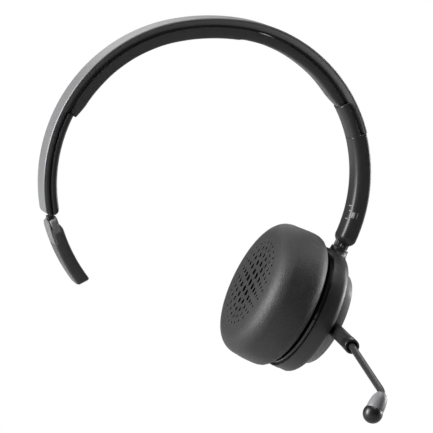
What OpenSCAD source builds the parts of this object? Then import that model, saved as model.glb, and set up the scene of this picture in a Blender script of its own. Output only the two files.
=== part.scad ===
// Single-ear wireless office headset: padded headband with a temple pad on the left,
// a telescoping arm on the right, and an on-ear cup that carries a rotating microphone boom.
// Axes: +X towards the ear cup, -Y to the front of the wearer, +Z up.
// Origin: underside of the crown pad, where the headset rests on top of the head.
// Angles along the band are measured from the crown, positive on the cup side.

/* [Headband] */
// Radius of the outer surface over the crown
crown_r = 92; // [84:0.5:100]
// Half angle of the crown arc
crown_half_angle = 9; // [6:0.5:12]
// Radius of the outer surface down the sides
side_r = 68.5; // [64:0.5:74]
// Width of the outer surface, front to back
band_w = 11.4; // [10.6:0.2:12.6]
// Thickness of the band frame with its trim
band_t = 3.1; // [3.1:0.1:3.4]
// Thickness of the crown pad below the frame
pad_t = 5.8; // [5:0.1:7]
// Angle at which the pad ends and the sleeves begin
sleeve_from = 62; // [58:0.5:66]
// Angle at which the left end of the band stops
left_end = 101; // [97:0.5:104]
// Thickness of the band at its left end
left_t = 6.2; // [6.2:0.1:7]
// Angle at which the frame ends on the cup side
frame_to = 75; // [72:0.5:77]

/* [Cup arm] */
// Angle at which the cup arm stops
arm_end = 119; // [115:0.5:121]
// Thickness of the cup arm
arm_t = 7.8; // [7.6:0.1:8.6]
// Radius of the swivel post
post_r = 1.95; // [1.6:0.05:2.2]
// Distance from the end of the arm to the tilt pin
pin_drop = 5.2; // [5:0.1:6]
// Radius of the tilt pin
pin_r = 0.8; // [0.7:0.05:0.9]

/* [Temple pad] */
// Height of the temple plate
temple_h = 30.5; // [26:0.5:34]
// Width of the temple plate, front to back
temple_w = 11; // [10.5:0.5:16]
// Inward lean of the temple plate
temple_lean = 25; // [20:1:28]
// Radius of the curve that the plate follows over its height
temple_bow_r = 73; // [68:1:90]

/* [Ear cup] */
// Distance of the cup centre from the middle plane
cup_x = 41.2; // [39:0.1:43]
// Height of the cup centre
cup_z = -117; // [-119:0.1:-115]
// Lean of the cup: its face looks inward and this far up
cup_lean = 27.5; // [26:0.5:29]
// Radius of the ear cushion
cushion_r = 30; // [28:0.5:32]
// Height of the ear cushion above its ring
cushion_h = 23; // [20:0.5:26]
// Radius of the cup housing
housing_r = 28; // [27:0.5:29]
// Depth of the cup housing behind the ring
housing_d = 9; // [8.5:0.1:9.5]

/* [Boom] */
// Radius of the turning disc that carries the boom
disc_r = 21; // [19:0.5:22]
// Thickness of the turning disc
disc_t = 4.9; // [4.6:0.1:5.4]
// Angle of the boom root below straight ahead
root_angle = 5; // [0:1:15]
// Reach of the boom root from the disc centre
root_reach = 49; // [44:1:54]
// Angle of the thin tube below straight ahead
tube_angle = 10; // [5:1:18]
// Length of the thin tube between the collar and the elbow
tube_len = 55; // [45:1:65]
// Radius of the thin tube
tube_r = 1.5; // [1.3:0.1:1.8]
// Radius of the ball at the microphone's tip
ball_r = 4.1; // [3.5:0.1:4.6]

/* [Hidden] */
$fn = 96;

// Clearances: a running fit, and a seat
run_gap = 0.05;
seat_gap = 0.05;

// Band centres and depths below the outer surface
band_top = band_t + pad_t;
side_x = (crown_r - side_r) * sin(crown_half_angle);
side_z = band_top - crown_r + (crown_r - side_r) * cos(crown_half_angle);
half_w = band_w / 2;
trim_t = 0.65;
strip_d = 2.25;
strip_t = 0.7;
strip_w = 6;
carrier_t = 0.9;
pad_w = 9.6;

// Arm
arm_cavity_w = 7.4;
arm_wall = 1.3;
strip_end = 104;
cover_t = 1;
bush_r = 3;
bush_from = 1.6;
bush_to = 8.2;
arm_mid_r = side_r - arm_t / 2;
arm_tip = [side_x + arm_mid_r * sin(arm_end), 0, side_z + arm_mid_r * cos(arm_end)];
arm_lean = arm_end - 90;

// Temple slider: a thin tongue inside the band, then a thicker neck that ends in the pivot
tongue_t = 1.2;
tongue_d = 2.9;
neck_t = 1.8;
neck_w = 4.8;
neck_d = 2.2;
neck_from = 72;
neck_to = 107;
neck_mid_r = side_r - neck_d;
temple_pivot = [-side_x - neck_mid_r * sin(neck_to), 0, side_z + neck_mid_r * cos(neck_to)];
temple_pin_r = 0.4;
temple_face = -2.62;
temple_top = 5.2;
temple_t = 4.2;
temple_pad_t = 1.4;
neck_lean = 14;

// Cup, measured along its own axis from the ring: positive towards the ear
ring_t = 1.6;
ring_r = 27;
baffle_r = 26.3;
wall = 1.5;
shell_back = -housing_d;
disc_gap = 0.3;
disc_front = shell_back - disc_gap;
disc_back = disc_front - disc_t;
driver_r = 16;
board_r = 22;
boss_r = 24;
boss_at = [30, 150, 270];
hub_r = 5;
hub_wall = 1.7;
retainer_z = disc_front - hub_wall - 0.25;
button_r = 7.5;
key_z = -4.6;
light_at = 55;

// Microphone: its body leaves the tube this far downward, and a little inward
mic_drop = 62;
mic_inward = 6;
mic_len = 9.6;

// Profile helpers: x is minus the depth below the outer surface, y runs front to back
module depth_box(d0, d1, w, r = 0.4) {
    for (y = [-w / 2 + r, w / 2 - r], x = [-d0 - r, -d1 + r])
        translate([x, y]) circle(r, $fn = 32);
    translate([-d1, -w / 2 + r]) square([d1 - d0, w - 2 * r]);
    translate([-d1 + r, -w / 2]) square([d1 - d0 - 2 * r, w]);
}

// Sweeps a profile down the cup side between two angles past the crown arc
module side_sweep(from, to) {
    translate([side_x, 0, side_z]) rotate([90, 0, 0])
        rotate_extrude(angle = to - from, start = 90 - to, $fn = 180) translate([side_r, 0]) children();
}

module left_sweep(from, to) {
    mirror([1, 0, 0]) side_sweep(from, to) children();
}

// Sweeps a profile over the crown, from an angle on the left to an angle on the cup side.
// The crown arc laps over the side arcs, a hair below them, so that the three join into one solid.
module band_sweep(left, right) {
    lap = 0.3;
    below = 0.01;
    translate([0, 0, band_top - crown_r]) rotate([90, 0, 0])
        rotate_extrude(angle = 2 * (crown_half_angle + lap), start = 90 - crown_half_angle - lap, $fn = 180)
            translate([crown_r - below, 0]) children();
    side_sweep(crown_half_angle, right) children();
    left_sweep(crown_half_angle, left) children();
}

// What lies past a half-round end at an angle on the cup side, for a band of thickness t
module end_cut(to, t) {
    cut = to - asin(t / 2 / (side_r - t / 2));
    difference() {
        side_sweep(cut, to + 20) translate([-t - 3, -half_w - 1]) square([t + 6, band_w + 2]);
        translate([side_x, 0, side_z]) rotate([0, cut, 0]) translate([0, 0, side_r - t / 2])
            rotate([90, 0, 0]) cylinder(r = t / 2, h = band_w + 2, center = true);
    }
}

// Places children at an angle on the band: x outward, z back towards the crown
module at_side(t, depth) {
    translate([side_x, 0, side_z]) rotate([0, t - 90, 0]) translate([side_r - depth, 0, 0]) children();
}

// Frames of reference for the moving groups
module at_arm_tip() { translate(arm_tip) rotate([0, arm_lean, 0]) children(); }
module at_cup() { translate([cup_x, 0, cup_z]) rotate([0, cup_lean - 90, 0]) children(); }
module at_tilt() { at_arm_tip() translate([0, 0, -pin_drop]) children(); }
module at_temple() { translate(temple_pivot) rotate([0, -temple_lean, 0]) children(); }

// A tube or a solid of revolution along the cup axis
module ring(r_out, r_in, z0, z1) {
    translate([0, 0, z0]) difference() {
        cylinder(r = r_out, h = z1 - z0);
        translate([0, 0, -1]) cylinder(r = r_in, h = z1 - z0 + 2);
    }
}

// A small flat-head screw whose head starts at z = 0 and whose shank runs to -z
module screw(shank_r, len, head_r, head_h) {
    cylinder(r = head_r, h = head_h);
    translate([0, 0, -len]) cylinder(r = shank_r, h = len + head_h / 2);
}

// --- Headband ---

module frame_profile() {
    inner = strip_w / 2 + 0.15;
    polygon([[-trim_t, -half_w + 0.5], [-trim_t - 0.2, -half_w + 0.5], [-trim_t - 0.2, -half_w + 0.1],
        [-band_t, -half_w + 2], [-band_t, -inner], [-strip_d, -inner], [-strip_d, inner], [-band_t, inner],
        [-band_t, half_w - 2], [-trim_t - 0.2, half_w - 0.1], [-trim_t - 0.2, half_w - 0.5],
        [-trim_t, half_w - 0.5]]);
}

module band_frame() {
    color("dimgray") difference() {
        band_sweep(left_end, frame_to) frame_profile();
        mirror([1, 0, 0]) end_cut(left_end, left_t);
    }
}

module outer_trim() {
    edge = 0.25;
    color("gray") difference() {
        band_sweep(left_end, frame_to)
            polygon([[-trim_t, -half_w], [-edge, -half_w], [0, -half_w + edge], [0, half_w - edge],
                [-edge, half_w], [-trim_t, half_w]]);
        mirror([1, 0, 0]) end_cut(left_end, left_t);
    }
}

module spring_strip() {
    color("silver") difference() {
        band_sweep(neck_from - 2, strip_end)
            translate([-strip_d - strip_t, -strip_w / 2]) square([strip_t, strip_w]);
        for (t = [82:3:100]) at_side(t, strip_d) rotate([0, 90, 0])
            cylinder(r = 0.9, h = 6, center = true);
    }
}

module pad_carrier() {
    color("black") band_sweep(sleeve_from - 0.25, sleeve_from - 0.25)
        translate([-band_t - carrier_t, -half_w + 2.1]) square([carrier_t, band_w - 4.2]);
}

module crown_pad() {
    top = band_t + carrier_t + seat_gap;
    edge = 1.6;
    side = pad_w / 2;
    color([0.14, 0.14, 0.15]) band_sweep(sleeve_from - 0.25, sleeve_from - 0.25)
        polygon([[-top, -side], [-band_top + edge, -side], [-band_top, -side + edge],
            [-band_top, side - edge], [-band_top + edge, side], [-top, side]]);
}

module left_sleeve() {
    color([0.12, 0.12, 0.13]) difference() {
        left_sweep(sleeve_from, left_end) depth_box(band_t + seat_gap, left_t, band_w - 1, 1.4);
        left_sweep(neck_from - 1, left_end + 1)
            translate([-tongue_d - tongue_t / 2 - 0.1, -neck_w / 2 - 0.15]) square([1, neck_w + 0.3]);
        mirror([1, 0, 0]) end_cut(left_end, left_t);
        mirror([1, 0, 0]) at_side(88, 4.9) rotate([0, 90, 0]) cylinder(r = 0.85, h = 3);
    }
}

module temple_detent() {
    color("silver") mirror([1, 0, 0]) at_side(88, 4.88) rotate([0, 90, 0]) cylinder(r = 0.8, h = 1.3);
}

// --- Cup arm, which slides along the side of the band ---

module arm_inner_shell() {
    color([0.16, 0.16, 0.17]) difference() {
        union() {
            side_sweep(sleeve_from, arm_end) depth_box(band_t + 0.1, arm_t, band_w, 2.2);
            side_sweep(frame_to + 0.3, arm_end) depth_box(cover_t + seat_gap, arm_t - 2.3, band_w, 0.3);
        }
        side_sweep(frame_to + 0.1, arm_end - 11)
            translate([-arm_t + arm_wall, -arm_cavity_w / 2]) square([arm_t, arm_cavity_w]);
        at_arm_tip() cylinder(r = post_r + 0.3, h = 20, center = true);
        at_arm_tip() translate([0, 0, bush_from]) cylinder(r = bush_r + 0.02, h = 12);
        end_cut(arm_end, arm_t);
    }
}

module arm_outer_cover() {
    color([0.13, 0.13, 0.14]) difference() {
        side_sweep(frame_to + 0.3, arm_end) depth_box(0, cover_t, band_w, 0.45);
        at_arm_tip() translate([0, 0, bush_from]) cylinder(r = bush_r + 0.02, h = 12);
        end_cut(arm_end, arm_t);
    }
}

module arm_detent() {
    color("silver") side_sweep(84, 87.5) translate([-arm_t + arm_wall, -2]) square([3.5, 4]);
}

module swivel_bush() {
    color("goldenrod") at_arm_tip() ring(bush_r, post_r + run_gap, bush_from, bush_to);
}

// --- Swivel post, between the arm and the cup ---

module swivel_post() {
    eye_w = 3;
    color("silver") difference() {
        union() {
            at_arm_tip() translate([0, 0, -2.4]) cylinder(r = post_r, h = bush_to + 3.2);
            at_arm_tip() translate([-1.7, -eye_w / 2, -pin_drop]) cube([3.4, eye_w, pin_drop - 2.35]);
            at_tilt() rotate([90, 0, 0]) cylinder(r = 2.2, h = eye_w, center = true);
        }
        at_tilt() rotate([90, 0, 0]) cylinder(r = pin_r + run_gap, h = 8, center = true);
        at_arm_tip() ring(post_r + 1, post_r - 0.4, bush_to + 0.1, bush_to + 0.5);
    }
}

module post_clip() {
    color("silver") at_arm_tip() ring(bush_r - 0.2, post_r - 0.4, bush_to + 0.1, bush_to + 0.5);
}

module neck_sleeve() {
    flutes = 14;
    color("black") at_arm_tip() difference() {
        translate([0, 0, -2.3]) cylinder(r = 3.3, h = 2.15);
        translate([0, 0, -5]) cylinder(r = post_r, h = 8);
        for (k = [0:flutes - 1]) rotate([0, 0, k * 360 / flutes])
            translate([3.4, 0, -5]) cylinder(r = 0.4, h = 8);
    }
}

module tilt_pin() {
    color("silver") at_tilt() rotate([90, 0, 0]) cylinder(r = pin_r, h = 7.8, center = true);
}

// --- Temple pad, on its own slider in the left end ---

module temple_neck() {
    color([0.1, 0.1, 0.1]) difference() {
        union() {
            left_sweep(neck_from, left_end + 1)
                translate([-tongue_d - tongue_t / 2, -neck_w / 2]) square([tongue_t, neck_w]);
            left_sweep(left_end + 0.5, neck_to)
                translate([-neck_d - neck_t / 2, -neck_w / 2]) square([neck_t, neck_w]);
            at_temple() rotate([90, 0, 0]) cylinder(r = neck_t / 2 + 0.1, h = neck_w, center = true);
        }
        at_temple() rotate([90, 0, 0]) cylinder(r = temple_pin_r + run_gap, h = 20, center = true);
    }
}

module temple_pin() {
    color("silver") at_temple() rotate([90, 0, 0]) cylinder(r = temple_pin_r, h = 8.6, center = true);
}

// A plate that follows a large cylinder over its height, with rounded corners;
// depth is measured from the outer side of the plate
module temple_slab(depth, t, h, w, corner) {
    r_out = temple_bow_r - depth;
    translate([temple_face + temple_bow_r, 0, temple_top - temple_h / 2]) intersection() {
        rotate([90, 0, 0]) difference() {
            cylinder(r = r_out, h = w, center = true, $fn = 360);
            cylinder(r = r_out - t, h = w + 2, center = true, $fn = 360);
        }
        rotate([0, -90, 0]) linear_extrude(2 * r_out) union() {
            for (x = [-h / 2 + corner, h / 2 - corner], y = [-w / 2 + corner, w / 2 - corner])
                translate([x, y]) circle(corner);
            square([h, w - 2 * corner], center = true);
            square([h - 2 * corner, w], center = true);
        }
    }
}

// The slot that the neck tilts in, in line with the neck, from a distance above the pivot
module neck_slot(from, w) {
    rotate([0, temple_lean - neck_lean, 0]) translate([-1.45, -w / 2, from]) cube([2.9, w, 10]);
}

module temple_plate() {
    slot_w = neck_w + 0.6;
    color([0.2, 0.2, 0.21]) at_temple() difference() {
        temple_slab(0, temple_t, temple_h, temple_w, 3.6);
        rotate([90, 0, 0]) cylinder(r = temple_pin_r + 0.01, h = 8.7, center = true);
        rotate([90, 0, 0]) cylinder(r = 1.55, h = slot_w + 0.1, center = true);
        neck_slot(0, slot_w);
        neck_slot(1.2, temple_w + 2);
    }
}

module temple_pad() {
    color([0.13, 0.13, 0.14]) at_temple()
        temple_slab(temple_t + seat_gap, temple_pad_t, temple_h - 3.6, temple_w - 1.6, 3);
}

// --- Ear cup ---

// The turned shape of the cup housing: a shallow dish with a rounded back edge
module housing_profile() {
    edge = 3.5;
    difference() {
        union() {
            translate([0, shell_back]) square([housing_r - edge, housing_d - 0.3]);
            translate([0, shell_back + edge]) square([housing_r, housing_d - edge - 0.3]);
            translate([housing_r - edge, shell_back + edge]) circle(edge, $fn = 48);
        }
        translate([-1, shell_back + wall]) square([housing_r - wall + 1, housing_d]);
        translate([-40, shell_back - 1]) square([40, housing_d + 2]);
    }
}

module cup_housing() {
    color([0.2, 0.2, 0.21]) difference() {
        union() {
            at_cup() rotate_extrude() housing_profile();
            at_cup() for (a = boss_at) rotate([0, 0, a])
                translate([boss_r, 0, shell_back + wall / 2]) cylinder(r = 1.8, h = 6.45);
            at_tilt() rotate([90, 0, 0]) cylinder(r = 2.5, h = 7.8, center = true);
        }
        at_tilt() rotate([90, 0, 0]) cylinder(r = pin_r + 0.02, h = 10, center = true);
        at_tilt() rotate([90, 0, 0]) cylinder(r = 3.4, h = 3.4, center = true);
        at_cup() {
            translate([0, 0, shell_back - 1]) cylinder(r = 4, h = wall + 2);
            translate([-housing_r, 0, -4.8]) cube([8, 9.4, 3.6], center = true);
            for (a = boss_at) rotate([0, 0, a]) translate([boss_r, 0, -5]) cylinder(r = 0.8, h = 4);
            for (a = [76, 104]) rotate([0, 0, a]) translate([housing_r, 0, key_z])
                cube([8, 5.6, 3.2], center = true);
            rotate([0, 0, 130]) translate([housing_r, 0, key_z]) cube([8, 7.6, 2.6], center = true);
            rotate([0, 0, light_at]) translate([housing_r, 0, key_z]) rotate([0, 90, 0])
                cylinder(r = 0.8, h = 8, center = true);
        }
    }
}

module cup_ring() {
    color("black") at_cup() ring(ring_r, 22.5, -0.25, ring_t - 0.4);
}

module cup_baffle() {
    color([0.1, 0.1, 0.1]) at_cup() difference() {
        union() {
            ring(22.4, driver_r - 3, -1, 1.2);
            ring(baffle_r, driver_r - 3, -1.8, -0.3);
        }
        for (a = boss_at) rotate([0, 0, a]) translate([boss_r, 0, -4]) cylinder(r = 0.8, h = 8);
    }
}

module ear_cushion() {
    shoulder = 8;
    color([0.17, 0.17, 0.18]) at_cup() rotate_extrude() difference() {
        union() {
            translate([0, 1.25]) square([cushion_r - 2.5, 4]);
            translate([0, 3.5]) square([cushion_r, cushion_h - shoulder - 2]);
            translate([cushion_r - 2.5, 3.7]) circle(2.45, $fn = 48);
            translate([cushion_r - shoulder, cushion_h + 1.3 - shoulder]) circle(shoulder);
            translate([0, 3.5]) square([cushion_r - shoulder, cushion_h - 2.2]);
        }
        translate([-1, 0]) square([driver_r + 2, 7]);
        translate([-40, -1]) square([40, 60]);
    }
}

module driver_basket() {
    color("dimgray") at_cup() rotate_extrude() difference() {
        union() {
            translate([driver_r - 4, -3.1]) square([4, 1.2]);
            translate([10, -5.2]) square([3.4, 3]);
            translate([0, -5.2]) square([11, 1]);
        }
        translate([-1, -6]) square([8, 3]);
    }
}

module driver_magnet() {
    color("silver") at_cup() translate([0, 0, -6.9]) cylinder(r = 6.9, h = 2.6);
}

module driver_diaphragm() {
    color("lightgray") at_cup() difference() {
        translate([0, 0, -1.85]) cylinder(r = 12.8, h = 0.9);
        translate([0, 0, -2.1]) cylinder(r = 12.2, h = 0.9);
    }
}

module driver_grille() {
    color("black") at_cup() difference() {
        translate([0, 0, 1.25]) cylinder(r = driver_r, h = 0.5);
        for (r = [4, 8, 12], a = [0:240 / r:359]) rotate([0, 0, a])
            translate([r, 0, 0]) cylinder(r = 0.7, h = 3);
    }
}

module circuit_board() {
    color("darkgreen") at_cup() intersection() {
        ring(board_r, driver_r + 0.3, -3.2, -2.4);
        translate([-26, -30, -4]) cube([40, 60, 3]);
    }
}

module battery() {
    color("silver") at_cup() translate([-21.3, -8, -7.3]) cube([4.6, 16, 3.6]);
}

module charge_port() {
    color("silver") at_cup() translate([-housing_r + 0.4, 0, -4.8]) rotate([0, 90, 0]) difference() {
        union() {
            for (y = [-2.87, 2.87]) translate([0, y, 0]) cylinder(r = 1.6, h = 6);
            translate([-1.6, -2.87, 0]) cube([3.2, 5.74, 6]);
        }
        translate([0, 0, -1]) for (y = [-2.87, 2.87]) translate([0, y, 0]) cylinder(r = 1.3, h = 5);
        translate([-1.3, -2.87, -1]) cube([2.6, 5.74, 5]);
    }
}

module light_guide() {
    color("white") at_cup() rotate([0, 0, light_at]) translate([housing_r - 2.6, 0, key_z])
        rotate([0, 90, 0]) cylinder(r = 0.75, h = 2.5);
}

module baffle_screws() {
    color("dimgray") at_cup() for (a = boss_at) rotate([0, 0, a]) translate([boss_r, 0, -4.2])
        cylinder(r = 0.78, h = 3.9);
}

// A key in the rear rim of the housing, with a flange that holds it behind the wall
module rim_key(a, w, h) {
    at_cup() rotate([0, 0, a]) intersection() {
        union() {
            translate([housing_r - 1, 0, key_z]) cube([4.2, w, h], center = true);
            translate([housing_r - wall - 1.1, 0, key_z]) cube([1, w + 1.6, h + 0.9], center = true);
        }
        translate([0, 0, -20]) cylinder(r = housing_r + 0.6, h = 40);
    }
}

module volume_up_button() { color([0.15, 0.15, 0.15]) rim_key(76, 5, 2.6); }
module volume_down_button() { color([0.15, 0.15, 0.15]) rim_key(104, 5, 2.6); }
module power_switch() { color([0.15, 0.15, 0.15]) rim_key(130, 3.2, 2); }

// --- Boom, which turns about the cup axis ---

module boom_hub() {
    color("dimgray") at_cup() difference() {
        union() {
            translate([0, 0, retainer_z]) cylinder(r = hub_r, h = shell_back - retainer_z);
            translate([0, 0, shell_back - 0.1]) cylinder(r = 3.95, h = wall);
        }
        translate([0, 0, -20]) cylinder(r = 1.2, h = 20);
    }
}

module hub_retainer() {
    color("silver") at_cup() ring(7, 1.2, retainer_z - 0.5, retainer_z);
}

module hub_screw() {
    color("silver") at_cup() translate([0, 0, retainer_z - 0.5]) rotate([180, 0, 0])
        screw(1.15, 3.6, 2.4, 0.4);
}

module wave_washer() {
    color("silver") at_cup() ring(6.8, hub_r + 0.2, retainer_z + 0.05, retainer_z + 0.23);
}

module boom_disc() {
    color([0.19, 0.19, 0.2]) difference() {
        at_cup() union() {
            translate([0, 0, disc_back + 0.6]) cylinder(r = disc_r, h = disc_t - 0.6);
            translate([0, 0, disc_back]) cylinder(r = disc_r - 0.6, h = 2);
        }
        at_cup() translate([0, 0, disc_back - 1]) cylinder(r = disc_r - 1.2, h = disc_t + 1 - hub_wall);
        at_cup() translate([0, 0, disc_back - 1]) cylinder(r = hub_r + run_gap, h = disc_t + 2);
        at_boom() rotate([0, 90, 0]) translate([0, 0, disc_r - 3]) cylinder(r = 0.8, h = 6);
    }
}

module disc_cover() {
    color([0.23, 0.23, 0.24]) at_cup() difference() {
        ring(disc_r - 1.25, button_r + 0.25, disc_back, disc_back + 1);
        translate([0, 0, disc_back + 0.5]) cylinder(r = button_r + 1.2, h = 1);
    }
}

module call_button() {
    color([0.15, 0.15, 0.15]) at_cup() {
        translate([0, 0, disc_back - 0.2]) cylinder(r = button_r, h = 1);
        translate([0, 0, disc_back + 0.55]) cylinder(r = button_r + 0.9, h = 0.25);
    }
}

module call_switch() {
    color("silver") at_cup() translate([0, 0, disc_back + 1.2]) cylinder(r = 1.8, h = 0.35);
}

module control_board() {
    color("darkgreen") at_cup() translate([0, 0, disc_back + 1.55]) cylinder(r = 19.7, h = 0.4);
}

// The boom lies in the plane of the disc, and local x runs along it
module at_boom() {
    at_cup() rotate([0, 0, -90 - root_angle]) translate([0, 0, disc_front - disc_t / 2]) children();
}
module at_tube() {
    at_boom() translate([root_reach, 0, 0]) rotate([0, 0, root_angle - tube_angle]) children();
}
module at_mic() {
    at_tube() translate([tube_len, 0, 0]) rotate([0, 0, -mic_drop]) rotate([0, 90 - mic_inward, 0])
        children();
}

module boom_root() {
    root_w = 6.2;
    root_t = 4;
    start = disc_r - 0.6;
    root_len = root_reach - 5.9 - start;
    color([0.16, 0.16, 0.17]) difference() {
        at_boom() rotate([0, 90, 0]) union() {
            for (y = [-1, 1]) translate([0, y * (root_w - root_t) / 2, start])
                cylinder(r = root_t / 2, h = root_len);
            translate([-root_t / 2, -(root_w - root_t) / 2, start])
                cube([root_t, root_w - root_t, root_len]);
        }
        at_boom() rotate([0, 90, 0]) cylinder(r = 0.8, h = 200);
        at_boom() cylinder(r = disc_r + 0.02, h = 20, center = true);
    }
}

module boom_collar() {
    color([0.1, 0.1, 0.1]) at_boom() rotate([0, 90, 0]) difference() {
        translate([0, 0, root_reach - 5.85]) cylinder(r = 3.2, h = 6);
        translate([0, 0, root_reach - 3.9]) cylinder(r = tube_r + 0.7, h = 6);
        translate([0, 0, root_reach - 10]) cylinder(r = 0.8, h = 20);
    }
}

module boom_tube() {
    color([0.13, 0.13, 0.14]) at_tube() rotate([0, 90, 0]) difference() {
        union() {
            translate([0, 0, -3.9]) cylinder(r = tube_r, h = tube_len + 3.9);
            translate([0, 0, tube_len]) sphere(tube_r);
        }
        translate([0, 0, -20]) cylinder(r = 0.7, h = tube_len + 18);
    }
}

module microphone_body() {
    color([0.45, 0.45, 0.46]) difference() {
        at_mic() rotate_extrude() polygon([[0, -1.5], [1.6, -1.5], [2.4, 0], [3.2, 2.5], [3.7, 5.5],
            [3.7, mic_len - 1.2], [2.9, mic_len - 1.2], [2.9, 3.4], [0, 3.4]]);
        at_tube() rotate([0, 90, 0]) cylinder(r = tube_r, h = tube_len);
        at_tube() translate([tube_len, 0, 0]) sphere(tube_r);
    }
}

module microphone_capsule() {
    color("silver") at_mic() translate([0, 0, 3.5]) cylinder(r = 2.8, h = 2.2);
}

module microphone_ball() {
    color([0.05, 0.05, 0.05]) at_mic() difference() {
        translate([0, 0, mic_len]) sphere(ball_r);
        cylinder(r = 3.75, h = mic_len - 1.1);
        translate([0, 0, mic_len - 2]) cylinder(r = 2.2, h = 1.8);
    }
}

band_frame();
outer_trim();
spring_strip();
pad_carrier();
crown_pad();
left_sleeve();
temple_detent();
arm_inner_shell();
arm_outer_cover();
arm_detent();
swivel_bush();
swivel_post();
post_clip();
neck_sleeve();
tilt_pin();
temple_neck();
temple_pin();
temple_plate();
temple_pad();
cup_housing();
cup_ring();
cup_baffle();
ear_cushion();
driver_basket();
driver_magnet();
driver_diaphragm();
driver_grille();
circuit_board();
battery();
charge_port();
light_guide();
baffle_screws();
volume_up_button();
volume_down_button();
power_switch();
boom_hub();
hub_retainer();
hub_screw();
wave_washer();
boom_disc();
disc_cover();
call_button();
call_switch();
control_board();
boom_root();
boom_collar();
boom_tube();
microphone_body();
microphone_capsule();
microphone_ball();
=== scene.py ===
import math

import bmesh
import bpy
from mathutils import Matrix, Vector, noise
from mathutils.geometry import delaunay_2d_cdt


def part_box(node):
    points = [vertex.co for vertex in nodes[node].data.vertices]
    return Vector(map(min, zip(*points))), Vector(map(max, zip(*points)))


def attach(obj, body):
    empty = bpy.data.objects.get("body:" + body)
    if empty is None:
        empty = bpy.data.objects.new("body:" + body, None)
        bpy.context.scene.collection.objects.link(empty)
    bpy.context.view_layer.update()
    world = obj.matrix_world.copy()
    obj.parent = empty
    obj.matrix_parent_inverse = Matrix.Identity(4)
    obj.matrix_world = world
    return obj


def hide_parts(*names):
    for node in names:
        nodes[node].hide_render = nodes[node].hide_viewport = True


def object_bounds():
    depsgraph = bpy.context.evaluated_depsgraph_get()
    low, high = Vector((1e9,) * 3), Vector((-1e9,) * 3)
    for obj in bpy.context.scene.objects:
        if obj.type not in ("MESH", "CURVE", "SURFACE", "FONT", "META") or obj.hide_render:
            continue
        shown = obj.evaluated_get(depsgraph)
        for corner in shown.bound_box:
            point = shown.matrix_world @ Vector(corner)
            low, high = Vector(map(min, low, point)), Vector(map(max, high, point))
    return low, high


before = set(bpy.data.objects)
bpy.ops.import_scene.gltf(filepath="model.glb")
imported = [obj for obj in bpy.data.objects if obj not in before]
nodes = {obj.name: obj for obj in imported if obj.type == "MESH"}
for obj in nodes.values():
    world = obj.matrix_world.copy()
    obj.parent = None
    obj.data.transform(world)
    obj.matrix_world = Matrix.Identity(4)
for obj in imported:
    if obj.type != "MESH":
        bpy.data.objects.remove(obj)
cad_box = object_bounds()

# ---------------------------------------------------------------- Camera
# A long lens a metre and a half away, in front and a little above, and turned towards
# the end that carries the temple pad.
CAMERA_TURN = math.radians(-15.6)
CAMERA_RISE = math.radians(9.0)
CAMERA_DISTANCE = 1.5
camera_data = bpy.data.cameras.new("studio_camera")
camera_data.lens = 293.0
camera_data.sensor_width = 36.0
camera_data.clip_end = 50.0
camera = bpy.data.objects.new("studio_camera", camera_data)
bpy.context.scene.collection.objects.link(camera)
look_at = Vector((0.0044, 0.0, -0.0766))
towards_camera = Vector((
    math.sin(CAMERA_TURN) * math.cos(CAMERA_RISE),
    -math.cos(CAMERA_TURN) * math.cos(CAMERA_RISE),
    math.sin(CAMERA_RISE),
))
camera.location = look_at + towards_camera * CAMERA_DISTANCE
camera.rotation_euler = (-towards_camera).to_track_quat("-Z", "Y").to_euler()
bpy.context.scene.camera = camera

# ---------------------------------------------------------------- Floor and light
# A plain white sheet below the headset. A large window of light stands at the temple
# pad's side, a little above it. Weaker ones hang over the top, stand at the cup's side
# and fill in from behind.
FLOOR_DROP = 0.12
FLOOR_REACH = 6.0
bpy.context.scene.view_settings.view_transform = "Standard"
floor_mesh = bpy.data.meshes.new("floor")
floor_corners = [(FLOOR_REACH * x, FLOOR_REACH * y, 0) for x, y in ((-1, -1), (1, -1), (1, 1), (-1, 1))]
floor_mesh.from_pydata(floor_corners, [], [(0, 1, 2, 3)])
floor = bpy.data.objects.new("floor", floor_mesh)
floor.location.z = cad_box[0].z - FLOOR_DROP
bpy.context.scene.collection.objects.link(floor)
paper = bpy.data.materials.new("white_paper")
paper.use_nodes = True
paper_tree = paper.node_tree
paper_shader = paper_tree.nodes["Principled BSDF"]
paper_shader.inputs["Base Color"].default_value = (0.4, 0.4, 0.4, 1)
paper_shader.inputs["Roughness"].default_value = 0.9
glow = paper_tree.nodes.new("ShaderNodeEmission")
glow.inputs["Color"].default_value = (1, 1, 1, 1)
glow.inputs["Strength"].default_value = 1.0
seen = paper_tree.nodes.new("ShaderNodeLightPath")
blend_paper = paper_tree.nodes.new("ShaderNodeMixShader")
paper_tree.links.new(seen.outputs["Is Camera Ray"], blend_paper.inputs["Fac"])
paper_tree.links.new(paper_shader.outputs["BSDF"], blend_paper.inputs[1])
paper_tree.links.new(glow.outputs["Emission"], blend_paper.inputs[2])
paper_tree.links.new(blend_paper.outputs["Shader"], paper_tree.nodes["Material Output"].inputs["Surface"])
floor_mesh.materials.append(paper)

world = bpy.data.worlds.new("studio_air")
world.use_nodes = True
air_tree = world.node_tree
dim_air = air_tree.nodes["Background"]
dim_air.inputs["Color"].default_value = (1, 1, 1, 1)
dim_air.inputs["Strength"].default_value = 0.07
white_air = air_tree.nodes.new("ShaderNodeBackground")
white_air.inputs["Color"].default_value = (1, 1, 1, 1)
seen_air = air_tree.nodes.new("ShaderNodeLightPath")
blend_air = air_tree.nodes.new("ShaderNodeMixShader")
air_tree.links.new(seen_air.outputs["Is Camera Ray"], blend_air.inputs["Fac"])
air_tree.links.new(dim_air.outputs["Background"], blend_air.inputs[1])
air_tree.links.new(white_air.outputs["Background"], blend_air.inputs[2])
air_tree.links.new(blend_air.outputs["Shader"], air_tree.nodes["World Output"].inputs["Surface"])
bpy.context.scene.world = world


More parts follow.
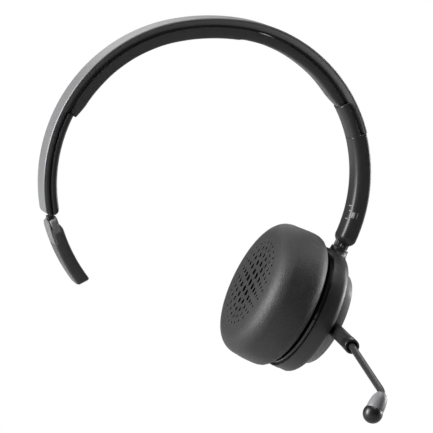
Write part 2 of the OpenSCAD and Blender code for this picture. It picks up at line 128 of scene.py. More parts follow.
def soft_window(name, place, width, height, watts):
    """A lamp of the given size in metres, turned to face the headset."""
    data = bpy.data.lights.new(name, "AREA")
    data.shape = "RECTANGLE"
    data.size = width
    data.size_y = height
    data.energy = watts
    lamp = bpy.data.objects.new(name, data)
    lamp.location = place
    lamp.rotation_euler = (look_at - Vector(place)).to_track_quat("-Z", "Y").to_euler()
    bpy.context.scene.collection.objects.link(lamp)


soft_window("window_left", (-1.28, -0.12, 0.4), 0.6, 1.1, 46.0)
soft_window("window_top", (0.4, 0.0, 1.2), 1.0, 0.6, 9.0)
soft_window("window_right", (1.1, 0.25, 0.1), 0.3, 0.9, 8.0)
soft_window("window_low_right", (0.85, 0.1, -0.15), 0.5, 0.2, 3.0)
soft_window("window_back", (0.3, 1.2, 0.6), 1.2, 0.6, 4.0)

# ---------------------------------------------------------------- Band frame
# The long bow over the head: one moulding in grey filled nylon, open along its inside
# for the spring strip. Its front and back faces slope in towards the wearer.
MM = 0.001
ROUGH_SPREAD = 0.07
CLOUD_SCALE = 70.0
WELD_MM = 0.002
EDGE_ANGLE = math.radians(38)


def wire(tree, start, end):
    tree.links.new(start, end)


def moulding(name, colour, rough, grain_mm=0.35, depth_mm=0.012, drift=0.06, coat=0.0):
    """Moulded plastic: fine spark grain, a slow drift of tone, and duller patches."""
    material = bpy.data.materials.new(name)
    material.use_nodes = True
    tree = material.node_tree
    shader = tree.nodes["Principled BSDF"]
    place = tree.nodes.new("ShaderNodeTexCoord")
    grain = tree.nodes.new("ShaderNodeTexNoise")
    grain.inputs["Scale"].default_value = 1.0 / (grain_mm * MM)
    grain.inputs["Detail"].default_value = 3.0
    cloud = tree.nodes.new("ShaderNodeTexNoise")
    cloud.inputs["Scale"].default_value = CLOUD_SCALE
    cloud.inputs["Detail"].default_value = 4.0
    for texture in (grain, cloud):
        wire(tree, place.outputs["Object"], texture.inputs["Vector"])
    tone = tree.nodes.new("ShaderNodeMix")
    tone.data_type = "RGBA"
    tone.inputs["A"].default_value = tuple(c * (1 - drift) for c in colour) + (1,)
    tone.inputs["B"].default_value = tuple(min(1, c * (1 + drift)) for c in colour) + (1,)
    wire(tree, cloud.outputs["Fac"], tone.inputs["Factor"])
    wire(tree, tone.outputs["Result"], shader.inputs["Base Color"])
    dull = tree.nodes.new("ShaderNodeMapRange")
    dull.inputs["To Min"].default_value = max(0.02, rough - ROUGH_SPREAD)
    dull.inputs["To Max"].default_value = rough + ROUGH_SPREAD
    wire(tree, cloud.outputs["Fac"], dull.inputs["Value"])
    wire(tree, dull.outputs["Result"], shader.inputs["Roughness"])
    bump = tree.nodes.new("ShaderNodeBump")
    bump.inputs["Strength"].default_value = 0.6
    bump.inputs["Distance"].default_value = depth_mm * MM
    wire(tree, grain.outputs["Fac"], bump.inputs["Height"])
    wire(tree, bump.outputs["Normal"], shader.inputs["Normal"])
    if coat:
        shader.inputs["Coat Weight"].default_value = coat
        shader.inputs["Coat Roughness"].default_value = 0.12
    return material


def finish_node(name, material, edge_mm=0.0):
    """Gives a carried-over solid its material and, where asked, a softened edge."""
    piece = nodes[name]
    piece.data.materials.clear()
    piece.data.materials.append(material)
    if edge_mm:
        weld = piece.modifiers.new("weld", "WELD")
        weld.merge_threshold = WELD_MM * MM
        round_over = piece.modifiers.new("edge", "BEVEL")
        round_over.width = edge_mm * MM
        round_over.segments = 2
        round_over.limit_method = "ANGLE"
        round_over.angle_limit = EDGE_ANGLE
        round_over.harden_normals = True


frame_grey = moulding("frame_grey_nylon", (0.075, 0.075, 0.078), 0.55)
finish_node("band_frame", frame_grey)

# ---------------------------------------------------------------- Outer trim
# A thin bright-grey strip that caps the bow over its whole width. It is glued on, and
# a dark shadow line shows between it and the frame.
trim_grey = moulding("trim_satin_grey", (0.145, 0.145, 0.149), 0.36, 0.25, 0.006)
finish_node("outer_trim", trim_grey)

# ---------------------------------------------------------------- Spring strip and detents
# The steel strip on which the cup arm slides, with a row of detent holes, and the two
# small friction pieces that bear on the sliders. The post's clip and the wave washer
# are of the same steel.


def metal(name, colour, rough, grain_mm=0.12):
    """Bare metal with a fine grain and slight staining."""
    material = moulding(name, colour, rough, grain_mm, 0.004, 0.1)
    shader = material.node_tree.nodes["Principled BSDF"]
    shader.inputs["Metallic"].default_value = 1.0
    return material


spring_steel = metal("spring_steel", (0.5, 0.5, 0.52), 0.32)
for part in ("spring_strip", "arm_detent", "temple_detent", "post_clip", "wave_washer"):
    finish_node(part, spring_steel)

# ---------------------------------------------------------------- Pad carrier and left sleeve
# Black nylon. The carrier clips the pad to the bow. The sleeve closes the bow's left
# end and guides the tongue of the temple slider.
black_nylon = moulding("black_nylon", (0.012, 0.012, 0.013), 0.45, 0.3, 0.012)
for part in ("pad_carrier", "left_sleeve"):
    finish_node(part, black_nylon)

# ---------------------------------------------------------------- Crown pad
# A long foam strip in matte leatherette, with a sewn furrow along its upper edge. It
# lies under the bow and is drawn in a little at both ends.
SIDE_RADIUS = 68.5
CROWN_RADIUS = 92.0
CROWN_HALF = 9.0
SIDE_CENTRE = ((CROWN_RADIUS - SIDE_RADIUS) * math.sin(math.radians(CROWN_HALF)),
               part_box("outer_trim")[1].z / MM - CROWN_RADIUS
               + (CROWN_RADIUS - SIDE_RADIUS) * math.cos(math.radians(CROWN_HALF)))


def band_point(angle, depth, across):
    """A point at an angle on the bow, so deep below its outer face, in metres."""
    if abs(angle) <= CROWN_HALF:
        centre = (0.0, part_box("outer_trim")[1].z / MM - CROWN_RADIUS)
        radius = CROWN_RADIUS
    else:
        centre = (math.copysign(SIDE_CENTRE[0], angle), SIDE_CENTRE[1])
        radius = SIDE_RADIUS
    turn = math.radians(angle)
    return Vector((
        centre[0] + (radius - depth) * math.sin(turn),
        across,
        centre[1] + (radius - depth) * math.cos(turn),
    )) * MM


def new_piece(name, points, faces, material):
    """A smooth-shaded mesh object whose faces all look outward."""
    mesh = bpy.data.meshes.new(name)
    mesh.from_pydata([tuple(p) for p in points], [], faces)
    mesh.materials.append(material)
    piece = bpy.data.objects.new(name, mesh)
    bpy.context.scene.collection.objects.link(piece)
    tidy = bmesh.new()
    tidy.from_mesh(mesh)
    bmesh.ops.recalc_face_normals(tidy, faces=tidy.faces)
    tidy.to_mesh(mesh)
    tidy.free()
    for face in mesh.polygons:
        face.use_smooth = True
    return piece


def lofted(name, rings, material, caps=True):
    """A closed skin through rings of points that all have the same count."""
    count = len(rings[0])
    points = [p for ring in rings for p in ring]
    faces = []
    for i in range(len(rings) - 1):
        for j in range(count):
            k = (j + 1) % count
            faces.append((i * count + j, i * count + k, (i + 1) * count + k, (i + 1) * count + j))
    if caps:
        faces.append(tuple(range(count)))
        faces.append(tuple((len(rings) - 1) * count + j for j in range(count)))
    return new_piece(name, points, faces, material)


def leatherette(name, colour, rough, cell_mm=0.9, depth_mm=0.05, sheen=0.15):
    """Soft coated cloth: pebbled cells, painted shade in the pores between them, and rubbed patches that
    vary the gloss.
    """
    material = bpy.data.materials.new(name)
    material.use_nodes = True
    tree = material.node_tree
    shader = tree.nodes["Principled BSDF"]
    place = tree.nodes.new("ShaderNodeTexCoord")
    sway = tree.nodes.new("ShaderNodeTexNoise")
    sway.inputs["Scale"].default_value = 900.0
    cells = tree.nodes.new("ShaderNodeTexVoronoi")
    cells.feature = "DISTANCE_TO_EDGE"
    cells.inputs["Scale"].default_value = 1.0 / (cell_mm * MM)
    push = tree.nodes.new("ShaderNodeVectorMath")
    push.operation = "MULTIPLY_ADD"
    push.inputs[1].default_value = (0.0006, 0.0006, 0.0006)
    wire(tree, place.outputs["Object"], sway.inputs["Vector"])
    wire(tree, sway.outputs["Color"], push.inputs[0])
    wire(tree, place.outputs["Object"], push.inputs[2])
    wire(tree, push.outputs["Vector"], cells.inputs["Vector"])
    cushion_top = tree.nodes.new("ShaderNodeMapRange")
    cushion_top.inputs["From Max"].default_value = 0.25
    cushion_top.interpolation_type = "SMOOTHSTEP"
    wire(tree, cells.outputs["Distance"], cushion_top.inputs["Value"])
    # The pores between the cells get 0.6 of the colour as painted shade in the recesses; the cell tops
    # keep the full colour.
    tone = tree.nodes.new("ShaderNodeMix")
    tone.data_type = "RGBA"
    tone.inputs["A"].default_value = tuple(c * 0.6 for c in colour) + (1,)
    tone.inputs["B"].default_value = tuple(colour) + (1,)
    wire(tree, cushion_top.outputs["Result"], tone.inputs["Factor"])
    wire(tree, tone.outputs["Result"], shader.inputs["Base Color"])
    rub = tree.nodes.new("ShaderNodeTexNoise")
    rub.inputs["Scale"].default_value = 60.0
    rub.inputs["Detail"].default_value = 5.0
    wire(tree, place.outputs["Object"], rub.inputs["Vector"])
    dull = tree.nodes.new("ShaderNodeMapRange")
    dull.inputs["To Min"].default_value = rough - 0.08
    dull.inputs["To Max"].default_value = rough + 0.08
    wire(tree, rub.outputs["Fac"], dull.inputs["Value"])
    wire(tree, dull.outputs["Result"], shader.inputs["Roughness"])
    fine = tree.nodes.new("ShaderNodeTexNoise")
    fine.inputs["Scale"].default_value = 6000.0
    wire(tree, place.outputs["Object"], fine.inputs["Vector"])
    height = tree.nodes.new("ShaderNodeMath")
    height.operation = "MULTIPLY_ADD"
    height.inputs[1].default_value = 0.25
    wire(tree, fine.outputs["Fac"], height.inputs[0])
    wire(tree, cushion_top.outputs["Result"], height.inputs[2])
    bump = tree.nodes.new("ShaderNodeBump")
    bump.inputs["Strength"].default_value = 0.5
    bump.inputs["Distance"].default_value = depth_mm * MM
    wire(tree, height.outputs["Value"], bump.inputs["Height"])
    wire(tree, bump.outputs["Normal"], shader.inputs["Normal"])
    shader.inputs["Sheen Weight"].default_value = sheen
    shader.inputs["Sheen Roughness"].default_value = 0.5
    return material


pad_leather = leatherette("pad_leatherette", (0.03, 0.03, 0.031), 0.55, 0.55, 0.02)

PAD_TOP = 4.1
PAD_BOTTOM = 8.9
PAD_HALF = 4.85
PAD_END = 62.2
PAD_EASE = 7.0
STEP_ANGLE = 10.0
STEP_DEPTH = 0.45
PAD_STATIONS = 168


def pad_section(angle):
    """Half-round foam section with a stitched lip at the top, for one place on the bow."""
    to_end = min(1.0, (PAD_END - abs(angle)) / PAD_EASE)
    ease = math.sin(max(0.0, to_end) * math.pi / 2)
    bottom = PAD_BOTTOM - 1.3 * (1 - ease)
    half = PAD_HALF - 0.5 * (1 - ease)
    swell = 0.10 * noise.noise(Vector((angle * 0.12, 0.0, 3.7)))
    # The foam is a little thinner past one place on the cup's side of the crown
    step_in = 0.5 + 0.5 * math.tanh((angle - STEP_ANGLE) / 0.8)
    bottom += swell + 0.1 - STEP_DEPTH * step_in
    middle = (PAD_TOP + bottom) / 2
    outline = []
    steps = 36
    for i in range(steps):
        a = 2 * math.pi * i / steps
        c, s = math.cos(a), math.sin(a)
        power = 0.42 if s > 0 else 0.30
        x = half * math.copysign(abs(c) ** power, c)
        d = middle + (bottom - middle) * math.copysign(abs(s) ** power, s)
        # A shallow furrow along each side, where the two skins of the pad are sewn together
        furrow = math.exp(-((d - (PAD_TOP + 1.5)) / 0.35) ** 2)
        x -= math.copysign(0.28 * furrow * min(1.0, abs(c) * 1.5), c)
        outline.append((x, d))
    return outline


pad_rings = []
for i in range(PAD_STATIONS + 1):
    angle = -PAD_END + 2 * PAD_END * i / PAD_STATIONS
    pad_rings.append([band_point(angle, d, x) for x, d in pad_section(angle)])
crown_pad = lofted("crown_pad_soft", pad_rings, pad_leather)
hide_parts("crown_pad")
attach(crown_pad, "headband")

# ---------------------------------------------------------------- Cup arm
# A hollow graphite shell that slides along the side of the bow and carries the cup. It
# is rounder on the inside than on the outside, and a fine parting groove runs near its
# outer face. A thinner sleeve goes on from it, up the inside of the bow.
graphite = moulding("graphite_plastic", (0.02, 0.02, 0.021), 0.38, 0.5, 0.002)
ARM_DEPTH = 7.8
ARM_HALF = 5.7
ARM_MOUTH = 75.3
ARM_END = 119.0
SLEEVE_FROM = 62.0
SLEEVE_DEPTH = 3.25
HOLLOW = 0.76
GROOVE_EDGES = (0.95, 1.1, 1.25)
OUTER_SQUARE = 0.34
INNER_SQUARE = 0.66


def arm_outline(grow, outer_depth):
    """The arm's rounded outline as (depth, across), with a fine parting groove."""
    turns = [2 * math.pi * i / 72 for i in range(72)]
    for groove in GROOVE_EDGES:
        rise = 1 - groove / (ARM_DEPTH / 2)
        turn = math.asin(rise ** (1 / OUTER_SQUARE))
        turns += [turn + 1e-4, math.pi - turn - 1e-4]
    outline = []
    for turn in sorted(turns):
        c, s = math.cos(turn), math.sin(turn)
        square = OUTER_SQUARE if s > 0 else INNER_SQUARE
        depth = ARM_DEPTH / 2 * (1 - grow * math.copysign(abs(s) ** square, s))
        across = ARM_HALF * (0.35 + 0.65 * grow) * math.copysign(abs(c) ** square, c)
        if grow > 0.99 and abs(depth - GROOVE_EDGES[1]) < 0.05:
            across *= 0.975
        outline.append((max(depth, outer_depth), across))
    return outline


def arm_rings(start, stop, steps, outer_depth, shrink=1.0):
    """Outlines from one angle on the bow to another, closing in at the arm's round end."""
    middle = ARM_DEPTH / 2
    rings = []
    for i in range(steps + 1):
        angle = start + (stop - start) * i / steps
        from_end = math.radians(ARM_END - angle) * (SIDE_RADIUS - ARM_DEPTH / 2) / (ARM_DEPTH / 2)
        grow = math.sqrt(max(0.0, 1 - max(0.0, 1 - from_end) ** 2))
        rings.append([band_point(angle, middle + (depth - middle) * shrink, across * shrink)
                      for depth, across in arm_outline(max(grow, 0.04), outer_depth)])
    return rings


# The shell is hollow, so its skin starts inside, comes out at the mouth and goes down
arm_shell = lofted("cup_arm_shell", arm_rings(110.0, ARM_MOUTH, 40, 0.0, HOLLOW)
                   + arm_rings(ARM_MOUTH, 112.0, 60, 0.0)
                   + arm_rings(112.3, 118.99, 40, 0.0), graphite)
arm_sleeve = lofted("cup_arm_sleeve", arm_rings(SLEEVE_FROM, 75.6, 24, SLEEVE_DEPTH), graphite)
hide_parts("arm_inner_shell", "arm_outer_cover")
for piece in (arm_shell, arm_sleeve):
    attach(piece, "cup_arm")

# ---------------------------------------------------------------- Swivel
# A turned steel post in a bronze bush, and a cross pin that lets the cup tilt. The
# temple's pin is of the same steel.
finish_node("swivel_bush", metal("sintered_bronze", (0.42, 0.27, 0.11), 0.45, 0.3))
steel = metal("turned_steel", (0.58, 0.58, 0.59), 0.25)
for part in ("swivel_post", "tilt_pin", "temple_pin"):
    finish_node(part, steel)

# ---------------------------------------------------------------- Temple slider and plate
# A black tongue slides in the left sleeve and ends in a pivot. The grey plate hangs on
# it and follows the side of the head.
finish_node("temple_neck", black_nylon)
plate_grey = moulding("plate_satin_grey", (0.13, 0.13, 0.133), 0.4, 0.3, 0.01)
finish_node("temple_plate", plate_grey, 0.25)

# ---------------------------------------------------------------- Temple cheeks
# Two small grey blocks that stand at the front and the back of the pivot, one at each
# edge of the plate.
TEMPLE_LEAN = math.radians(25)
pin_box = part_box("temple_pin")
temple_pivot = (pin_box[0] + pin_box[1]) / 2
plate_in = Vector((math.cos(TEMPLE_LEAN), 0, math.sin(TEMPLE_LEAN)))
plate_up = Vector((-math.sin(TEMPLE_LEAN), 0, math.cos(TEMPLE_LEAN)))
PLATE_BOW = 73.0
PLATE_FACE = -2.62
PLATE_MID = -10.05
CHEEK_FOOT = -2.0
CHEEK_TOP = 5.0
CHEEK_HALF = 1.15
CHEEK_PLACE = 4.2


def on_plate(depth, across, height):
    """A point so deep in from the plate's bowed outer face, at a height above the pivot."""
    bow = PLATE_BOW - math.sqrt(PLATE_BOW ** 2 - (height - PLATE_MID) ** 2)
    return (temple_pivot + plate_in * (PLATE_FACE + bow + depth) * MM
            + Vector((0, across * MM, 0)) + plate_up * height * MM)


def rounded_section(half, front, back, power):
    """A squarish closed outline between two depths, as (across, depth) pairs."""
    outline = []
    for i in range(40):
        a = 2 * math.pi * i / 40
        c, s = math.cos(a), math.sin(a)
        across = half * math.copysign(abs(c) ** power, c)
        depth = (front + back) / 2 + (back - front) / 2 * math.copysign(abs(s) ** power, s)
        outline.append((across, depth))
    return outline


for name, side in (("temple_cheek_front", -1), ("temple_cheek_back", 1)):
    cheek_rings = []
    for i in range(13):
        height = CHEEK_FOOT + (CHEEK_TOP - CHEEK_FOOT) * i / 12
        inset = 0.5 * (1 - math.sqrt(max(0.0, 1 - max(0.0, (height - CHEEK_TOP + 1.0)) ** 2)))
        section = rounded_section(CHEEK_HALF - inset, 0.9, 4.3 - inset, 0.4)
        cheek_rings.append([on_plate(depth, side * CHEEK_PLACE + across, height)
                            for across, depth in section])
    cheek = lofted(name, cheek_rings, plate_grey)
    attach(cheek, "temple")

# ---------------------------------------------------------------- Temple pad
# A soft sleeve of leatherette over foam on the side of the head. Below the cheeks a thin
# dark skin of it wraps over the plate's outer face as painted shade, and its upper edge arches up in the
# middle.
TEMPLE_PAD_TOP = -0.4
TEMPLE_PAD_LENGTH = 24.8
TEMPLE_PAD_HALF = 5.75
TEMPLE_PAD_BACK = 5.7
SHADE_WRAP_FROM = 4.6
temple_rings = []
for i in range(61):
    t = i / 60
    height = TEMPLE_PAD_TOP - TEMPLE_PAD_LENGTH * t
    end_ease = min(1.0, min(t, 1 - t) / 0.045)
    shrink = 0.9 * (1 - math.sqrt(max(0.0, 1 - (1 - end_ease) ** 2)))
    half = TEMPLE_PAD_HALF - shrink
    ring = []
    # Below the wrap height, the front of the skin passes 0.2 mm outside the plate's outer face. This dark
    # sheet is painted shade on that face.
    outside = 0.55 - 0.75 * min(1.0, max(0.0, (-height - SHADE_WRAP_FROM) / 0.8))
    section = rounded_section(half, outside + shrink * 0.5, TEMPLE_PAD_BACK - shrink * 0.6, 0.28)
    for across, depth in section:
        arch = 1.6 * (1 - (across / TEMPLE_PAD_HALF) ** 2) * (1 - t) ** 12
        ring.append(on_plate(depth, across, height + arch))
    temple_rings.append(ring)
temple_pad = lofted("temple_pad_soft", temple_rings, pad_leather)
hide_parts("temple_pad")
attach(temple_pad, "temple")

# ---------------------------------------------------------------- Cup housing
# The shallow dish behind the ear cushion, in graphite plastic with a satin skin, and
# the glossy ring between the two.
housing_graphite = moulding("housing_graphite", (0.028, 0.028, 0.029), 0.42, 0.3, 0.005)
finish_node("cup_housing", housing_graphite, 0.12)
piano_black = moulding("piano_black", (0.006, 0.006, 0.007), 0.1, 0.8, 0.002, 0.1, coat=0.6)
finish_node("cup_ring", piano_black)

# ---------------------------------------------------------------- Inside the cup
# The baffle, the driver with its magnet and film, the boards, the cell, the charging
# socket, the light guide and three screws. The boom's hub with its fixings, the call
# switch and the microphone's capsule are finished here too.
for part in ("cup_baffle", "driver_basket", "driver_grille"):
    finish_node(part, black_nylon)
for part in ("driver_magnet", "battery", "charge_port", "baffle_screws", "boom_hub",
             "hub_retainer", "hub_screw", "call_switch", "microphone_capsule"):
    finish_node(part, steel)
finish_node("driver_diaphragm", moulding("driver_film", (0.5, 0.5, 0.45), 0.3))
board_green = moulding("board_green", (0.02, 0.12, 0.05), 0.35)
for part in ("circuit_board", "control_board"):
    finish_node(part, board_green)
finish_node("light_guide", moulding("milky_plastic", (0.7, 0.7, 0.68), 0.3))

# ---------------------------------------------------------------- Keys
# Two volume keys, the power slider and the call button, all black and slightly glossy.
key_black = moulding("key_black", (0.02, 0.02, 0.021), 0.3, 0.3, 0.006)
for part in ("volume_up_button", "volume_down_button", "power_switch", "call_button"):
    finish_node(part, key_black, 0.12)

# ---------------------------------------------------------------- Ear cushion
# A thick round foam cushion in soft leatherette. Its face is flat, with a pattern of
# pierced holes that grow towards the middle, and its shoulder is well rounded.
CUP_LEAN = math.radians(27.5)
RING_MIDDLE = 0.475
cup_axis = Vector((-math.cos(CUP_LEAN), 0, math.sin(CUP_LEAN)))
cup_up = Vector((math.sin(CUP_LEAN), 0, math.cos(CUP_LEAN)))
ring_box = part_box("cup_ring")
cup_centre = (ring_box[0] + ring_box[1]) / 2 - cup_axis * RING_MIDDLE * MM


def on_cup(up, back, along):
    """A point on the cup, in mm up, towards the back and along its axis."""
    return cup_centre + cup_up * up * MM + Vector((0, back * MM, 0)) + cup_axis * along * MM


cushion_leather = leatherette("cushion_leatherette", (0.023, 0.023, 0.024), 0.52, 0.9, 0.1, 0.06)
SHOULDER_RADIUS = 30.35
FACE_LEVEL = 24.9
FACE_EDGE = 21.0
HOLE_SIDES = 14
HOLE_DEPTH = 2.2
EDGE_COUNT = 96
# Radius of each ring of holes, and radius of its holes. Ring n has 6n holes.
HOLE_RINGS = ((0.0, 1.55), (5.0, 1.5), (9.2, 1.26), (12.8, 1.0), (16.0, 0.78), (18.9, 0.6))


def face_level(radius):
    """Height of the cushion's face: a little sunk in the middle, with a soft groove round it."""
    ring_groove = 0.3 * math.exp(-((radius - 20.2) / 0.9) ** 2)
    return FACE_LEVEL - 0.25 * (1 - (radius / FACE_EDGE) ** 2) - ring_groove


hole_centres = []
spoke = math.radians(-103.5)
for ring_number, (ring_radius, hole_radius) in enumerate(HOLE_RINGS):
    for step in range(max(1, 6 * ring_number)):
        a = spoke + 2 * math.pi * step / max(1, 6 * ring_number)
        hole_centres.append((ring_radius * math.cos(a), ring_radius * math.sin(a), hole_radius))

flat_points = []
loops = []


def add_loop(cx, cy, radius, count):
    first = len(flat_points)
    for k in range(count):
        a = 2 * math.pi * k / count
        flat_points.append(Vector((cx + radius * math.cos(a), cy + radius * math.sin(a))))
    loops.append([first + k for k in range(count)])


add_loop(0, 0, FACE_EDGE, EDGE_COUNT)
for cx, cy, radius in hole_centres:
    add_loop(cx, cy, radius, HOLE_SIDES)
for cx, cy, radius in hole_centres:
    add_loop(cx, cy, radius + 0.22, HOLE_SIDES)
hole_loops = loops[1:1 + len(hole_centres)]
edges = [(loop[k], loop[(k + 1) % len(loop)]) for loop in loops for k in range(len(loop))]
cdt_points, _, cdt_faces, cdt_sources, _, _ = delaunay_2d_cdt(flat_points, edges, [], 0, 1e-6)
welded = {given: made for made, sources in enumerate(cdt_sources) for given in sources}


def in_hole(x, y):
    return any((x - cx) ** 2 + (y - cy) ** 2 < (radius * 0.97) ** 2 for cx, cy, radius in hole_centres)


points, faces, painted_shade_faces = [], [], []
for p in cdt_points:
    r = math.hypot(p.x, p.y)
    near = min((math.hypot(p.x - cx, p.y - cy) - radius) for cx, cy, radius in hole_centres)
    lip = 0.12 if near < 0.05 else 0.0
    points.append(on_cup(p.x, p.y, face_level(r) - lip))
for tri in cdt_faces:
    mid = sum((cdt_points[i] for i in tri), Vector((0, 0))) / len(tri)
    if mid.length < FACE_EDGE and not in_hole(mid.x, mid.y):
        faces.append(tuple(tri))
# Walls and floors of the pierced holes, which later get near-black foam as painted shade
for (cx, cy, radius), loop in zip(hole_centres, hole_loops):
    top = [welded[i] for i in loop]
    base = len(points)
    for k in range(HOLE_SIDES):
        a = 2 * math.pi * k / HOLE_SIDES
        points.append(on_cup(cx + radius * 0.93 * math.cos(a), cy + radius * 0.93 * math.sin(a),
                             FACE_LEVEL - HOLE_DEPTH))
    for k in range(HOLE_SIDES):
        m = (k + 1) % HOLE_SIDES
        faces.append((top[k], top[m], base + m, base + k))
    faces.append(tuple(base + k for k in range(HOLE_SIDES)))
    painted_shade_faces.extend(range(len(faces) - HOLE_SIDES - 1, len(faces)))
# Shoulder, side and hem, as rings round the axis
profile = []
for k in range(1, 15):
    a = math.pi / 2 * k / 14
    profile.append((FACE_EDGE + (SHOULDER_RADIUS - FACE_EDGE) * math.sin(a) ** 0.9,
                    face_level(FACE_EDGE) - 8.2 * (1 - math.cos(a) ** 0.9)))
profile += [(30.55, 14.6), (30.7, 12.6), (30.8, 10.4), (30.8, 8.4), (30.6, 6.6), (30.1, 5.0),
            (29.2, 3.8), (28.1, 3.0), (26.8, 2.5), (25.2, 2.3), (22.4, 2.2), (22.4, 1.3),
            (19.0, 1.3), (18.2, 2.4), (18.2, 7.0), (0.6, 7.0)]
previous = [welded[i] for i in loops[0]]
for r, level in profile:
    start = len(points)
    for k in range(EDGE_COUNT):
        a = 2 * math.pi * k / EDGE_COUNT
        spot = Vector((r * math.cos(a), r * math.sin(a), level))
        fold = noise.noise(spot * 0.11 + Vector((5.1, 2.2, 0.7)))
        amount = 0.28 if 3.0 < level < 20.0 and r > 25 else 0.0
        r_soft = r + amount * fold
        points.append(on_cup(r_soft * math.cos(a), r_soft * math.sin(a), level))
    ring = [start + k for k in range(EDGE_COUNT)]
    for k in range(EDGE_COUNT):
        m = (k + 1) % EDGE_COUNT
        faces.append((previous[k], previous[m], ring[m], ring[k]))
    previous = ring
faces.append(tuple(previous))
ear_cushion = new_piece("ear_cushion_soft", points, faces, cushion_leather)
# Dark foam on the hole walls and floors, made near black and without gloss as painted shade, so the holes
# stay dark under the lamp.
painted_shade_foam = leatherette("foam_painted_shade", (0.0015, 0.0015, 0.0015), 0.95, 0.5, 0.05, 0.0)
painted_shade_foam.node_tree.nodes["Principled BSDF"].inputs["Specular IOR Level"].default_value = 0.0
ear_cushion.data.materials.append(painted_shade_foam)
for index in painted_shade_faces:
    ear_cushion.data.polygons[index].material_index = 1
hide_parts("ear_cushion")
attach(ear_cushion, "cup")

# ---------------------------------------------------------------- Neck saddle
# The housing's rim rises to the swivel in a low flared saddle that is open round the
# post. It moves with the cup.
POST_ALONG = -4.92
SADDLE_SIDES = 48
SADDLE_TOP = 29.9
SADDLE_SHIFT = -0.2


def saddle_ring(height, reach_along, reach_back, shift):
    """An oval round the post at a height on the cup, longer from front to back."""
    ring = []
    for k in range(SADDLE_SIDES):
        a = 2 * math.pi * k / SADDLE_SIDES
        ring.append(on_cup(height, reach_back * math.sin(a),
                           POST_ALONG + shift + reach_along * math.cos(a)))
    return ring


saddle_mouth = ((27.0, 3.3), (SADDLE_TOP, 3.35), (30.15, 3.6), (30.1, 3.8))
saddle_rings = [saddle_ring(height, reach, reach, SADDLE_SHIFT) for height, reach in saddle_mouth]
for i in range(15):
    t = i / 14
    flare = t ** 2.4
    saddle_rings.append(saddle_ring(SADDLE_TOP - 5.8 * t ** 1.15, 3.9 + 0.5 * flare, 3.9 + 8.3 * flare,
                                    SADDLE_SHIFT * (1 - flare)))
saddle = lofted("neck_saddle", saddle_rings, housing_graphite, caps=False)
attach(saddle, "cup")

# ---------------------------------------------------------------- Neck boot
# A rubber sleeve round the swivel post, smooth below and fluted above. It fills the gap
# between the arm's round end and the saddle, and turns with the post.
BOOT_FOOT = 28.4
BOOT_LENGTH = 5.4
BOOT_RADIUS = 2.88
FLUTE_DEPTH = 0.42
FLUTE_COUNT = 9
neck_boot_black = moulding("neck_boot_black", (0.03, 0.03, 0.031), 0.44, 0.3, 0.004)
boot_rings = []
for i in range(25):
    height = BOOT_FOOT + BOOT_LENGTH * i / 24
    ring = []
    for k in range(120):
        a = 2 * math.pi * k / 120
        fluted = 30.4 < height < 33.4
        flute = FLUTE_DEPTH * (0.5 + 0.5 * math.cos(FLUTE_COUNT * a)) if fluted else 0.0
        reach = BOOT_RADIUS + flute
        ring.append(on_cup(height, reach * math.sin(a), POST_ALONG + reach * math.cos(a)))
    boot_rings.append(ring)
neck_boot = lofted("neck_boot", boot_rings, neck_boot_black)
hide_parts("neck_sleeve")
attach(neck_boot, "swivel")

# ---------------------------------------------------------------- Boom disc
# The round turning disc on the back of the cup, with a cover plate round the call button.
disc_graphite = moulding("disc_graphite", (0.19, 0.19, 0.193), 0.38, 0.3, 0.005)
finish_node("boom_disc", moulding("disc_rim_grey", (0.2, 0.2, 0.204), 0.36, 0.3, 0.004), 0.15)
finish_node("disc_cover", disc_graphite, 0.15)

# ---------------------------------------------------------------- Boom root and collar
# A moulded root that leaves the disc's rim, and the dark collar that grips the tube.
root_black = moulding("root_satin_black", (0.014, 0.014, 0.0145), 0.38, 0.5, 0.002)
finish_node("boom_root", root_black, 0.1)
collar_satin = moulding("collar_satin_black", (0.01, 0.01, 0.0105), 0.3, 0.3, 0.004)
finish_node("boom_collar", collar_satin, 0.3)

# ---------------------------------------------------------------- Boom tube
# A thin bendable tube in a matte sheath. It runs straight from the collar and ends in a
# short bend that turns down to the microphone.
BOOM_LEVEL = -11.75
ROOT_TURN = -95
ROOT_REACH = 49.0
TUBE_TURN = -100
TUBE_LENGTH = 55.0
TUBE_RADIUS = 1.5
MIC_TURN = math.radians(-162)
MIC_INWARD = math.radians(6)


def in_boom_plane(turn, reach, origin=(0.0, 0.0)):
    """Where a reach at an angle from straight up ends, as (up, back)."""
    a = math.radians(turn)
    return (origin[0] + reach * math.cos(a), origin[1] + reach * math.sin(a))


collar_mouth = in_boom_plane(ROOT_TURN, ROOT_REACH)
elbow = in_boom_plane(TUBE_TURN, TUBE_LENGTH, collar_mouth)
elbow_point = on_cup(elbow[0], elbow[1], BOOM_LEVEL)
tube_start = on_cup(collar_mouth[0], collar_mouth[1], BOOM_LEVEL)
tube_way = (elbow_point - tube_start).normalized()
mic_way = ((cup_up * math.cos(MIC_TURN) + Vector((0, math.sin(MIC_TURN), 0))) * math.cos(MIC_INWARD)
           + cup_axis * math.sin(MIC_INWARD))


def swept(name, path, radii, material, around=24):
    """A round skin of changing radius along a path, closed at both ends."""
    rings = []
    side = (path[1] - path[0]).orthogonal().normalized()
    for i, spot in enumerate(path):
        ahead = path[min(i + 1, len(path) - 1)] - path[max(i - 1, 0)]
        ahead.normalize()
        side = (side - ahead * side.dot(ahead)).normalized()
        other = ahead.cross(side)
        rings.append([spot + (side * math.cos(2 * math.pi * k / around)
                              + other * math.sin(2 * math.pi * k / around)) * radii[i] * MM
                      for k in range(around)])
    return lofted(name, rings, material)


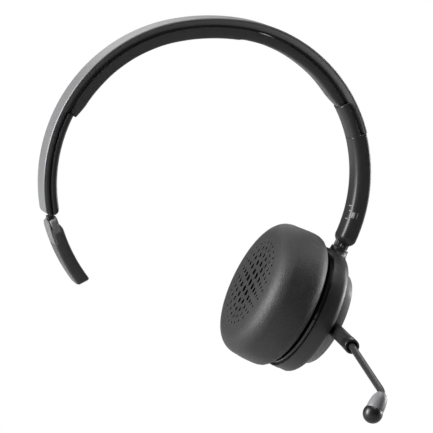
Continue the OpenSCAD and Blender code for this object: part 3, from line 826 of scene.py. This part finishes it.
tube_path = []
tube_radii = []
bend_in = elbow_point - tube_way * 5.0 * MM
bend_out = elbow_point + mic_way * 2.2 * MM
first = tube_start - tube_way * 3.0 * MM
for i in range(30):
    tube_path.append(first.lerp(bend_in, i / 30))
    tube_radii.append(TUBE_RADIUS)
for i in range(17):
    t = i / 16
    tube_path.append(bend_in * (1 - t) ** 2 + elbow_point * 2 * t * (1 - t) + bend_out * t ** 2)
    tube_radii.append(TUBE_RADIUS + 0.35 * t * t)
sheath = moulding("tube_sheath", (0.018, 0.018, 0.019), 0.4, 0.9, 0.0008)
boom_tube = swept("boom_tube_bent", tube_path, tube_radii, sheath)
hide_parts("boom_tube")
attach(boom_tube, "boom")

# ---------------------------------------------------------------- Microphone body
# A light grey moulding that grows from the tube's bend. The capsule sits in its wide end.
# Each step is a reach along the body and the radius there.
body_steps = [(-0.2, 1.85), (0.3, 2.3), (1.2, 2.85), (2.2, 3.2), (3.4, 3.45), (4.6, 3.62), (5.8, 3.7),
              (7.0, 3.7), (7.6, 3.62), (7.8, 3.3)]
body_path = [bend_out + mic_way * (reach - 1.6) * MM for reach, _ in body_steps]
mic_grey = moulding("microphone_grey", (0.17, 0.17, 0.175), 0.42, 0.9, 0.0008)
microphone_body = swept("microphone_body_soft", body_path, [r for _, r in body_steps], mic_grey, 40)
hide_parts("microphone_body")
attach(microphone_body, "boom")

# ---------------------------------------------------------------- Microphone ball
# The glossy black tip, which closes the body's mouth over the capsule.
ball_gloss = moulding("ball_gloss_black", (0.008, 0.008, 0.009), 0.36, 0.8, 0.003)
finish_node("microphone_ball", ball_gloss)

# ---------------------------------------------------------------- Size ticks on the arm
# Three short printed ticks and a plain upright bar on the arm's inner face show how far
# it is pulled out.
tick_white = moulding("tick_grey", (0.28, 0.28, 0.28), 0.5, 0.2, 0.002)


def arm_mark(name, angle, height_mm, across_from, across_to):
    """A thin printed patch that lies on the inner face of the arm."""
    points, faces = [], []
    for i in range(7):
        across = across_from + (across_to - across_from) * i / 6
        swell = (1 - (abs(across) / ARM_HALF) ** (2 / INNER_SQUARE)) ** (INNER_SQUARE / 2)
        depth = ARM_DEPTH / 2 * (1 + swell) + 0.03
        for side in (-0.5, 0.5):
            lean = math.degrees(side * height_mm / (SIDE_RADIUS - depth))
            points.append(band_point(angle + lean, depth, across))
    for i in range(6):
        faces.append((2 * i, 2 * i + 1, 2 * i + 3, 2 * i + 2))
    mark = new_piece(name, points, faces, tick_white)
    solid = mark.modifiers.new("ink", "SOLIDIFY")
    solid.thickness = 0.02 * MM
    solid.offset = 0.0
    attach(mark, "cup_arm")


arm_mark("size_tick_upper", 103.2, 0.35, -5.0, -2.2)
arm_mark("size_tick_middle", 105.2, 0.35, -5.0, -3.4)
arm_mark("size_tick_lower", 108.6, 0.35, -4.2, -2.2)
arm_mark("size_mark_plain", 106.6, 2.6, -5.7, -5.15)
